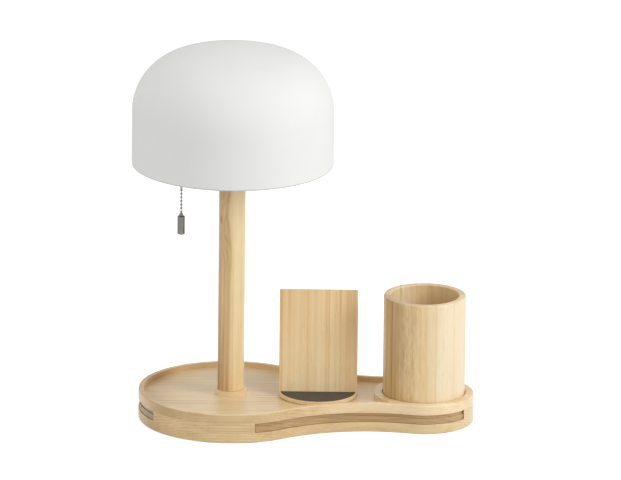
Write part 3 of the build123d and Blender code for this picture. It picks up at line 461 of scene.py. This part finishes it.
def top_board_wood():
    """Top board: pale tray, with painted shade towards the lamp end, painted shadow of the phone
    rest and pen cup on its back right part, painted shade on its sides, and painted shade in the
    joint round the post's foot.
    """
    wood = board_wood("top_board_wood", 3)
    x, y, _ = wood.split(wood.point)
    from_post = wood.distance(wood.point, (0, 0, 0), (1, 1, 0))
    # Painted shade on the outer side of the lamp end.
    outer = wood.times(wood.step(from_post, *LAMP_END_SIDE), wood.step(x, *LAMP_END_REACH))
    side = wood.step(wood.math("ABSOLUTE", wood.split(wood.facing)[2]), *SIDE_FACING)
    # Painted shadow of the phone rest and the pen cup.
    rest_and_cup_shadow = wood.times(wood.step(x, *TRAY_SHADOW_X), wood.step(y, *TRAY_SHADOW_Y))
    wood.lighten(
        TRAY_TONE,
        # Painted shade towards the lamp end, painted light nearer the post.
        wood.swing(wood.step(x, *TRAY_LEFT_SHADE), TRAY_LEFT_SHADE_TONE),
        wood.times(rest_and_cup_shadow, TRAY_SHADOW_TONE),
        wood.times(side, wood.add(wood.times(outer, LAMP_END_SIDE_SHADE), SIDE_SHADE)),
    )
    # Painted shade in the joint round the post's foot.
    wood.darken(wood.times(wood.step(from_post, *POST_FOOT_SHADE), POST_FOOT_DARK))
    return wood.finish(TRAY_TONES, roughness=0.36, coat=0.2)


def post_wood():
    """Brown at the left and pale at the right, with small knots and a joint lower down."""
    wood = Wood("post_wood", "Z", 5)
    height = wood.split(wood.point)[2]
    sway = wood.ramp(wood.times(height, 1 / POST_SWAY_TOP), POST_SWAY, "EASE")
    waver = wood.swing(wood.pattern(POST_WAVER), POST_WAVER_W)
    bent = wood.add(wood.across, wood.times(sway, POST_SWAY_W), waver)
    share = wood.add(0.5, wood.times(bent, 0.5 / POST_R))
    wood.lighten(wood.swing(wood.ramp(share, POST_BANDS, "EASE"), POST_BAND_TONE))
    count = wood.times(bent, 1 / POST_LINE_GAP)
    for place, reach, darkness in KNOTS:
        away = wood.distance(wood.point, place, KNOT_SQUEEZE)
        count = wood.add(count, wood.times(wood.step(away, reach, 0), KNOT_LINES))
        heart = wood.step(away, *(part * reach for part in KNOT_HEART))
        wood.darken(wood.times(heart, darkness))
    wood.lines(count, POST_LINE_TONE)
    off_joint = wood.math("ABSOLUTE", wood.math("SUBTRACT", wood.across, POST_JOINT_X))
    joint = wood.times(wood.step(off_joint, *POST_JOINT_HALF_W), wood.step(height, *POST_JOINT_TOP))
    wood.darken(wood.times(joint, POST_JOINT_DARK))
    return wood.finish(POST_TONES)


def rest_wood():
    """Upright staves of the phone rest, with painted light that makes them paler towards its foot.
    """
    wood = Wood("rest_wood", "Z", 8, lean=REST_LEAN)
    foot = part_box("phone_rest")[0][2]
    # Painted light, paler towards the rest's foot.
    foot_light = wood.step(wood.split(wood.point)[2], foot + REST_FOOT_LIGHT_H, foot)
    bands = wood.ramp(wood.share_of("phone_rest", REST_WAVER_W), REST_BANDS, "EASE")
    wood.lighten(wood.times(foot_light, REST_FOOT_LIGHT), wood.swing(bands, REST_BAND_TONE))
    wood.growth_lines(gap=5 * MM, wobble=1.5, strength=0.22, slant=0.8, stretch=1.5)
    return wood.finish(REST_TONES)


def cup_wood(name, seed):
    """Turned from a block of planks: browner at the left, flecked in the middle, cream at right."""
    wood = Wood(name, "Z", seed)
    low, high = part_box("pen_cup_body")
    share = wood.share_of("pen_cup_body", CUP_WAVER_W)
    behind = wood.math("GREATER_THAN", wood.split(wood.point)[1], (low[1] + high[1]) / 2)
    bands = wood.mix(behind, wood.ramp(share, CUP_BANDS), wood.ramp(share, CUP_BACK_BANDS))
    varied = wood.times(wood.math("SUBTRACT", wood.tone, 0.5), wood.ramp(share, CUP_CALM))
    flecks = wood.swing(wood.pattern(CUP_FLECKS, detail=2, bend=0.6), CUP_FLECK_TONE)
    wood.tone = wood.add(
        0.5,
        varied,
        wood.swing(bands, CUP_BAND_TONE),
        wood.times(flecks, wood.ramp(share, CUP_MOTTLED)),
    )
    wood.growth_lines(gap=6 * MM, wobble=2.0, strength=0.10, slant=0.9, stretch=2.0)
    rim = wood.step(wood.split(wood.facing)[2], *END_FACING)
    wood.darken(wood.times(rim, CUP_RIM_DARK))
    return wood.finish(CUP_TONES)


def disc_wood():
    wood = Wood("disc_wood", "X", 11)
    wood.growth_lines(gap=5 * MM, wobble=1.5, strength=0.25)
    wood.lighten(DISC_TONE)
    return wood.finish(TRAY_TONES)


def drawer_face_wood(name, seed, tones):
    wood = Wood(name, "X", seed)
    wood.growth_lines(gap=3.6 * MM, wobble=1.5, strength=0.25, slant=0.35)
    return wood.finish(tones, roughness=0.5, coat=0.05)


def drawer_box_wood(name, grain, seed):
    wood = Wood(name, grain, seed)
    wood.growth_lines(gap=6 * MM, wobble=2.5, strength=0.25)
    return wood.finish(BOX_TONES, roughness=0.6, coat=0.0)


# ---------------------------------------------------------------- other finishes

SHADE_WHITE = srgb(235, 235, 233)
SHADE_LIP = srgb(176, 174, 168)
LIP_HEIGHT = (1.9 * MM, 0.5 * MM)  # above the rim, where the lip's tint starts and is full
LIP_TINT = 0.6
BULB_OPAL = srgb(240, 239, 234)
PAD_DARK = srgb(63, 56, 47)
PAD_PALE = srgb(84, 76, 65)
PAD_CLOUD = srgb(104, 96, 84)
PAD_WORN = srgb(130, 120, 104)

CLOUD_SCALE = 35
CLOUD_STEP = (0.3, 0.7)
SMUDGE_SCALE = 120
SMUDGE_STEP = (0.3, 0.75)
WEAVE_SCALE = 2200
WEAVE_STEP = (0.3, 0.7)
PAD_CLOUD_SCALE = 90
PAD_CLOUD_STEP = (0.4, 0.8)
MOULDED_EDGE = 0.4 * MM
METAL_EDGE = 0.3 * MM
PAD_EDGE = 0.5 * MM
TOOL_MARK_DEPTH = 0.012 * MM
WEAVE_DEPTH = 0.05 * MM


def shaded(color, factor, lift=0.0):
    """A linear colour scaled and then lifted, with no part over 1."""
    return tuple(min(1.0, factor * value + lift) for value in color[:3]) + (1.0,)


def moulded(name, color, roughness, grain=0.25 * MM, depth=0.02 * MM, wear=0.10, coat=0.0,
            cloudy=0.07):
    """Moulded or coated surface: a fine skin grain, faint clouds, and paler, shinier edges."""
    skin = Shader(name)
    cloud = skin.noise(skin.point, CLOUD_SCALE, detail=2)
    pimples = skin.noise(skin.point, 1 / grain, detail=2)
    worn = skin.edges(MOULDED_EDGE)
    tint = skin.mix(skin.step(cloud, *CLOUD_STEP), shaded(color, 1 - cloudy), color)
    tint = skin.mix(skin.times(worn, wear), tint, shaded(color, 0.85, 0.15))
    gloss = skin.add(roughness, skin.swing(cloud, 0.10), skin.swing(pimples, 0.08),
                     skin.times(worn, -0.08))
    skin.set(color=tint, roughness=gloss, normal=skin.bump(pimples, depth), coat=coat)
    return skin


def metal(name, color, roughness, stretch=(1, 1, 1), scale=900):
    """Plated or turned metal: fine tool marks, rub marks and polished edges."""
    plate = Shader(name)
    marks = plate.noise(plate.placed(plate.point, stretch), scale, detail=3)
    smudge = plate.noise(plate.point, SMUDGE_SCALE, detail=3)
    worn = plate.edges(METAL_EDGE)
    tint = plate.mix(plate.step(smudge, *SMUDGE_STEP), shaded(color, 0.72), color)
    tint = plate.mix(plate.times(worn, 0.6), tint, shaded(color, 1.35))
    gloss = plate.add(roughness, plate.swing(marks, 0.18), plate.swing(smudge, 0.14))
    relief = plate.bump(marks, TOOL_MARK_DEPTH)
    plate.set(color=tint, metallic=1.0, roughness=gloss, normal=relief)
    return plate.material


def shade_finish():
    """Matt white shade: soft coat with a faint orange-peel skin and a greyer lip."""
    coat = moulded("shade_white", SHADE_WHITE, 0.70, grain=0.9 * MM, depth=0.012 * MM,
                   wear=0.0, cloudy=0.012)
    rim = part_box("lamp_shade")[0][2]
    lip = coat.step(coat.split(coat.point)[2], *(rim + height for height in LIP_HEIGHT))
    skin = coat.surface.inputs["Base Color"].links[0].from_socket
    coat.set(color=coat.mix(coat.times(lip, LIP_TINT), skin, SHADE_LIP), specular=0.18)
    return coat.material


def bulb_finish():
    glass = moulded("bulb_opal", BULB_OPAL, 0.22, grain=2 * MM, depth=0.01 * MM, coat=0.6)
    glass.set(subsurface=0.25, subsurface_scale=4 * MM)
    return glass.material


def pad_finish():
    """Dark pad with a fine felted surface."""
    pad = Shader("pad_dark")
    weave = pad.noise(pad.point, WEAVE_SCALE, detail=3)
    cloud = pad.noise(pad.point, PAD_CLOUD_SCALE, detail=2)
    worn = pad.edges(PAD_EDGE)
    tint = pad.mix(pad.step(weave, *WEAVE_STEP), PAD_DARK, PAD_PALE)
    tint = pad.mix(pad.times(pad.step(cloud, *PAD_CLOUD_STEP), 0.25), tint, PAD_CLOUD)
    tint = pad.mix(pad.times(worn, 0.3), tint, PAD_WORN)
    gloss = pad.add(0.62, pad.swing(weave, 0.2))
    pad.set(color=tint, roughness=gloss, normal=pad.bump(weave, WEAVE_DEPTH))
    return pad.material


# ---------------------------------------------------------------- what each node wears

STEEL_NODES = (
    "cover_screws", "rest_screws", "stand_keeper_screw", "stand_keeper_washer",
    "carrier_screws", "anchor_washer", "anchor_nut", "stand_pivot_pin", "switch_bracket",
    "post_cap", "shade_carrier",
)
NICKEL_NODES = ("switch_stem", "switch_stem_nut", "switch_plunger", "chain_fork", "bead_chain")
DRAWER_BOXES = {  # each side and the axis of its grain
    "front_drawer": (("bottom", "X"), ("left_side", "Y"), ("right_side", "Y"), ("back", "X")),
    "left_drawer": (("bottom", "Y"), ("front_side", "X"), ("rear_side", "X"), ("back", "Y")),
}


def dress():
    """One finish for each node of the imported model."""
    lead = moulded("lead_sheath", srgb(236, 236, 232), 0.45).material
    steel = metal("screw_steel", srgb(190, 190, 192), 0.35)
    nickel = metal("nickel", srgb(160, 158, 148), 0.22)
    rubber = moulded("rubber_black", srgb(44, 42, 40), 0.75, grain=0.3 * MM, depth=0.05 * MM)
    plastic = moulded("holder_plastic", srgb(238, 237, 232), 0.35, coat=0.2)
    switch = moulded("switch_plastic", srgb(236, 235, 230), 0.5)
    slip = moulded("slip_plastic", srgb(226, 225, 220), 0.5)
    brass = metal("contact_brass", srgb(214, 178, 104), 0.3)
    # The bottom board has deeper painted shade at its left end.
    bottom_board = board_wood("bottom_board_wood", 1, BOTTOM_LEFT_END_SHADE)
    finishes = {
        "base_bottom_board": bottom_board.finish(BASE_TONES),
        "base_middle_frame": board_wood("middle_frame_wood", 2).finish(BASE_TONES),
        "base_top_board": top_board_wood(),
        "anti_slip_feet": rubber.material,
        "underside_cover": rubber.material,
        "cord_gland": rubber.material,
        "internal_lead": lead,
        "front_drawer_face": drawer_face_wood("front_face_wood", 4, DRAWER_TONES),
        # The left drawer's face wears the front drawer's wood in painted shade.
        "left_drawer_face": drawer_face_wood("left_face_shaded_wood", 6, SHADED_DRAWER_TONES),
        "pen_cup_body": cup_wood("cup_wood", 7),
        "pen_cup_bottom": cup_wood("cup_bottom_wood", 9),
        "stand_disc": disc_wood(),
        "stand_pad": pad_finish(),
        "phone_rest": rest_wood(),
        "post": post_wood(),
        "threaded_tube": metal("zinc_tube", srgb(196, 190, 176), 0.4),
        "switch_body": switch.material,
        "switch_leads": lead,
        "chain_pendant": metal("pendant_steel", srgb(128, 126, 120), 0.3, (1, 1, 12), 700),
        "holder_cap": plastic.material,
        "holder_shell": plastic.material,
        "holder_insert": plastic.material,
        "lower_shade_ring": plastic.material,
        "upper_shade_ring": plastic.material,
        "centre_contact": brass,
        "side_contact": brass,
        "bulb_cap": metal("bulb_metal", srgb(205, 205, 206), 0.3),
        "bulb_glass": bulb_finish(),
        "lamp_shade": shade_finish(),
        "stand_slip_washer": slip.material,
    }
    finishes.update(dict.fromkeys(STEEL_NODES, steel))
    finishes.update(dict.fromkeys(NICKEL_NODES, nickel))
    for drawer, sides in DRAWER_BOXES.items():
        for seed, (side, grain) in enumerate(sides, start=12):
            node = f"{drawer}_{side}"
            finishes[node] = drawer_box_wood(node + "_wood", grain, seed)
    for node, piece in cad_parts.items():
        piece.data.materials.clear()
        piece.data.materials.append(finishes[node])


# ---------------------------------------------------------------- studio

CAMERA_AWAY = 12.0  # far off, because the photo's view is nearly orthographic
CAMERA_DOWN = math.radians(16.504)
CAMERA_ROLL = math.radians(0.627)
CAMERA_TARGET = Vector((78.5, 0.0, 185.6)) * MM
SENSOR_W = 36.0
FRAME_W = 0.621  # metres that the frame's width takes in at the target

SOFTBOXES = (  # name, place, width in metres, watts
    ("key_right", (1.5, -0.75, 1.0), 1.0, 15.6),
    ("fill_front", (-0.5, -2.0, 1.1), 1.6, 4.6),
    ("fill_left", (-2.0, -0.5, 0.8), 1.2, 5.6),
    ("overhead", (-0.3, 0.1, 2.2), 1.5, 7.0),
)
AMBIENT = 0.50
WHITE = (1, 1, 1, 1)
FLOOR_GREY = (0.8, 0.8, 0.8, 1)
FLOOR_GLOW = 0.62
FLOOR_HALF = 30.0


def make_camera():
    data = bpy.data.cameras.new("photo_camera")
    data.sensor_fit = "HORIZONTAL"
    data.sensor_width = SENSOR_W
    data.lens = SENSOR_W * CAMERA_AWAY / FRAME_W
    data.clip_start = 0.5
    data.clip_end = 60.0
    camera = bpy.data.objects.new("photo_camera", data)
    bpy.context.scene.collection.objects.link(camera)
    ahead = Vector((0, math.cos(CAMERA_DOWN), -math.sin(CAMERA_DOWN)))
    up = Vector((0, math.sin(CAMERA_DOWN), math.cos(CAMERA_DOWN)))
    right = Vector((1, 0, 0))
    rolled_right = right * math.cos(CAMERA_ROLL) + up * math.sin(CAMERA_ROLL)
    rolled_up = up * math.cos(CAMERA_ROLL) - right * math.sin(CAMERA_ROLL)
    turn = Matrix((rolled_right, rolled_up, -ahead)).transposed().to_4x4()
    camera.matrix_world = Matrix.Translation(CAMERA_TARGET - ahead * CAMERA_AWAY) @ turn
    bpy.context.scene.camera = camera


def make_softbox(name, place, size, power):
    data = bpy.data.lights.new(name, "AREA")
    data.shape = "DISK"
    data.size = size
    data.energy = power
    lamp = bpy.data.objects.new(name, data)
    lamp.location = place
    aim = CAMERA_TARGET - Vector(place)
    lamp.rotation_euler = aim.to_track_quat("-Z", "Y").to_euler()
    bpy.context.scene.collection.objects.link(lamp)


def seen_directly(tree):
    """1 for rays from the camera and for those that metal and glass send on."""
    path = tree.nodes.new("ShaderNodeLightPath")
    total = path.outputs["Is Camera Ray"]
    for kind in ("Is Glossy Ray", "Is Transmission Ray"):
        larger = tree.nodes.new("ShaderNodeMath")
        larger.operation = "MAXIMUM"
        tree.links.new(total, larger.inputs[0])
        tree.links.new(path.outputs[kind], larger.inputs[1])
        total = larger.outputs[0]
    return total


def make_world():
    """Soft light from all round, and plain white where it is seen directly."""
    world = bpy.data.worlds.new("studio")
    bpy.context.scene.world = world
    world.use_nodes = True
    tree = world.node_tree
    background = tree.nodes["Background"]
    background.inputs["Color"].default_value = WHITE
    strength = tree.nodes.new("ShaderNodeMapRange")
    strength.inputs["To Min"].default_value = AMBIENT
    strength.inputs["To Max"].default_value = 1.0
    tree.links.new(seen_directly(tree), strength.inputs["Value"])
    tree.links.new(strength.outputs["Result"], background.inputs["Strength"])


def make_floor():
    """Pale floor that looks white and keeps the object's shadow."""
    material = bpy.data.materials.new("studio_floor")
    material.use_nodes = True
    tree = material.node_tree
    surface = tree.nodes["Principled BSDF"]
    surface.inputs["Base Color"].default_value = FLOOR_GREY
    surface.inputs["Roughness"].default_value = 1.0
    surface.inputs["Specular IOR Level"].default_value = 0.0
    glow = tree.nodes.new("ShaderNodeMath")
    glow.operation = "MULTIPLY"
    glow.inputs[1].default_value = FLOOR_GLOW
    tree.links.new(seen_directly(tree), glow.inputs[0])
    surface.inputs["Emission Color"].default_value = WHITE
    tree.links.new(glow.outputs[0], surface.inputs["Emission Strength"])
    data = bpy.data.meshes.new("studio_floor")
    half = FLOOR_HALF
    corners = [(-half, -half, 0), (half, -half, 0), (half, half, 0), (-half, half, 0)]
    data.from_pydata(corners, [], [(0, 1, 2, 3)])
    data.materials.append(material)
    floor = bpy.data.objects.new("studio_floor", data)
    bpy.context.scene.collection.objects.link(floor)


def make_studio():
    make_camera()
    make_world()
    make_floor()
    for softbox in SOFTBOXES:
        make_softbox(*softbox)
    bpy.context.scene.view_settings.view_transform = "Standard"


dress()
make_studio()
